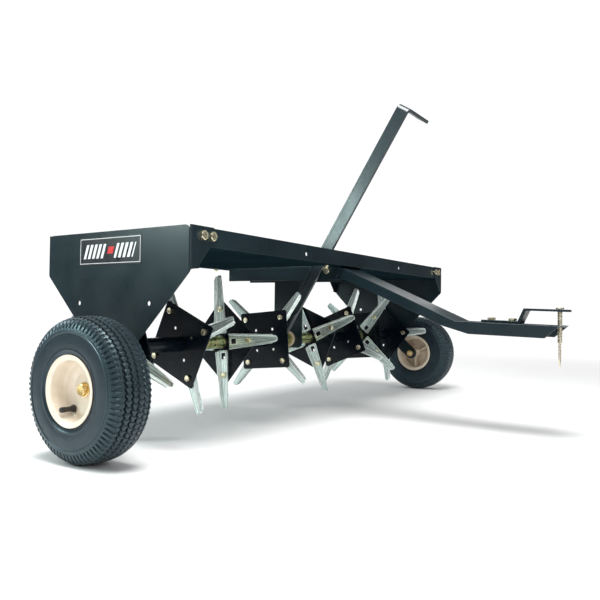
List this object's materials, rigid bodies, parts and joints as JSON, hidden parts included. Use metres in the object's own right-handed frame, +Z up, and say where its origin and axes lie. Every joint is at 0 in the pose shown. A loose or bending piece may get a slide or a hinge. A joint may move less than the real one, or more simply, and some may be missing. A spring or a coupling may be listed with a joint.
{
  "type": "core aerator",
  "caption": "Tow-behind lawn plug aerator: flat weight tray between hexagonal end plates, drums of coring spoons, bent tongue with hitch, transport wheels on a lift lever.",
  "frame": {"origin": "on the ground, at the middle of the machine's plan outline, wheels down (transport position)", "axes": "+Z up, -Y forward to the hitch, +Y to the rear, +X to the machine's left-hand side; the lift shaft runs along X"},
  "size_m": [1.528, 0.9366, 0.7676],
  "materials": {
    "frame_paint": "glossy dark blue-green powder coat",
    "drum_paint": "glossy dark powder coat",
    "galvanised": "bright zinc, fine lengthwise striations",
    "yellow_zinc": "yellow zinc plate, satin",
    "zinc_tube": "yellow-green zinc plate",
    "steel_shaft": "plain drawn steel",
    "bush_plastic": "moulded cream plastic",
    "decal_print": "printed vinyl panel with plain stripes",
    "rim_paint": "glossy ivory enamel",
    "tyre_rubber": "moulded rubber",
    "stem_rubber": "smooth black rubber"
  },
  "bodies": {
    "frame": {"tray_pan": "frame_paint", "end_plate_right": "frame_paint", "end_plate_left": "frame_paint", "side_decals": "decal_print", "corner_bolts": "yellow_zinc", "corner_nuts": "yellow_zinc", "tongue": "frame_paint", "tongue_bolts": "yellow_zinc", "hitch_strap": "frame_paint", "strap_bolts": "yellow_zinc", "center_hanger": "frame_paint", "hanger_bolts": "yellow_zinc", "shaft_bushings": "bush_plastic", "lever_guide": "frame_paint", "guide_bolts": "yellow_zinc"},
    "carriage": {"lift_shaft": "steel_shaft", "shaft_spacers": "zinc_tube", "arm_right": "frame_paint", "arm_left": "frame_paint", "lift_lever": "frame_paint", "lever_hub": "frame_paint", "lever_bolts": "yellow_zinc", "axle_bolts": "yellow_zinc", "axle_nuts": "yellow_zinc", "axle_spacers": "zinc_tube"},
    "drum_1": {"tine_plate_1a": "drum_paint", "tine_plate_1b": "drum_paint", "spoons_1a": "galvanised", "spoons_1b": "galvanised", "drum_tube_1": "drum_paint", "spoon_bolts_1": "yellow_zinc"},
    "drum_2": {"tine_plate_2a": "drum_paint", "tine_plate_2b": "drum_paint", "spoons_2a": "galvanised", "spoons_2b": "galvanised", "drum_tube_2": "drum_paint", "spoon_bolts_2": "yellow_zinc"},
    "drum_3": {"tine_plate_3a": "drum_paint", "tine_plate_3b": "drum_paint", "spoons_3a": "galvanised", "spoons_3b": "galvanised", "drum_tube_3": "drum_paint", "spoon_bolts_3": "yellow_zinc"},
    "drum_4": {"tine_plate_4a": "drum_paint", "tine_plate_4b": "drum_paint", "spoons_4a": "galvanised", "spoons_4b": "galvanised", "drum_tube_4": "drum_paint", "spoon_bolts_4": "yellow_zinc"},
    "wheel_right": {"tyre_right": "tyre_rubber", "rim_right": "rim_paint", "hub_bush_right": "bush_plastic", "valve_stem_right": "stem_rubber"},
    "wheel_left": {"tyre_left": "tyre_rubber", "rim_left": "rim_paint", "hub_bush_left": "bush_plastic", "valve_stem_left": "stem_rubber"},
    "pin": {"hitch_pin": "steel_shaft", "hitch_clip": "steel_shaft"}
  },
  "joints": [
    {"name": "lift", "type": "hinge", "parent": "frame", "child": "carriage", "pos_m": [0, 0.25775, 0.1936], "axis": [-1, 0, 0], "range_deg": [0, 70]},
    {"name": "drum_1_spin", "type": "hinge", "parent": "carriage", "child": "drum_1", "pos_m": [0, 0.25775, 0.1936], "axis": [1, 0, 0], "continuous": true},
    {"name": "drum_2_spin", "type": "hinge", "parent": "carriage", "child": "drum_2", "pos_m": [0, 0.25775, 0.1936], "axis": [1, 0, 0], "continuous": true},
    {"name": "drum_3_spin", "type": "hinge", "parent": "carriage", "child": "drum_3", "pos_m": [0, 0.25775, 0.1936], "axis": [1, 0, 0], "continuous": true},
    {"name": "drum_4_spin", "type": "hinge", "parent": "carriage", "child": "drum_4", "pos_m": [0, 0.25775, 0.1936], "axis": [1, 0, 0], "continuous": true},
    {"name": "wheel_right_spin", "type": "hinge", "parent": "carriage", "child": "wheel_right", "pos_m": [-0.721, 0.18325, 0.128], "axis": [1, 0, 0], "continuous": true},
    {"name": "wheel_left_spin", "type": "hinge", "parent": "carriage", "child": "wheel_left", "pos_m": [0.721, 0.18325, 0.128], "axis": [1, 0, 0], "continuous": true},
    {"name": "hitch_pin_slide", "type": "slide", "parent": "frame", "child": "pin", "axis": [0, 0, 1], "range_m": [0, 0.02]}
  ]
}
